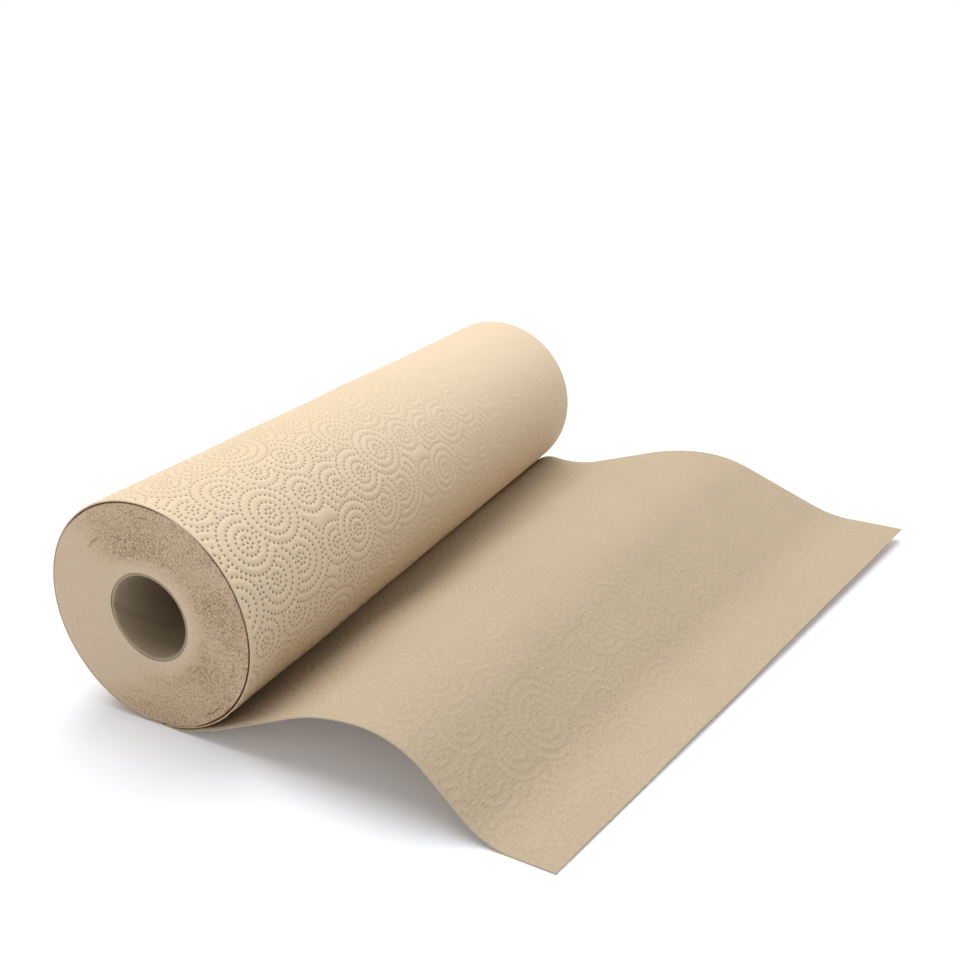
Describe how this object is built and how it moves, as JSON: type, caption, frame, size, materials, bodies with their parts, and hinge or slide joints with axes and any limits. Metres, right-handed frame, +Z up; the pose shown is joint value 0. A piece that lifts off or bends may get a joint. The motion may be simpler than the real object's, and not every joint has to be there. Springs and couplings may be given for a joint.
{
  "type": "paper towel roll",
  "caption": "Roll of embossed kitchen paper wound on a cardboard core, lying on its side with a loose tail over the floor.",
  "frame": {"origin": "middle of the roll's axis, in the core's bore", "axes": "+Y along the roll's axis, +Z up from the floor, +X towards the loose end of the paper"},
  "size_m": [0.2614, 0.2879, 0.0844],
  "materials": {
    "core_board": "matt greyish brown paperboard",
    "tissue": "soft matt off-white embossed tissue"
  },
  "bodies": {
    "root": {"core_tube": "core_board", "paper_web": "tissue"}
  },
  "joints": []
}
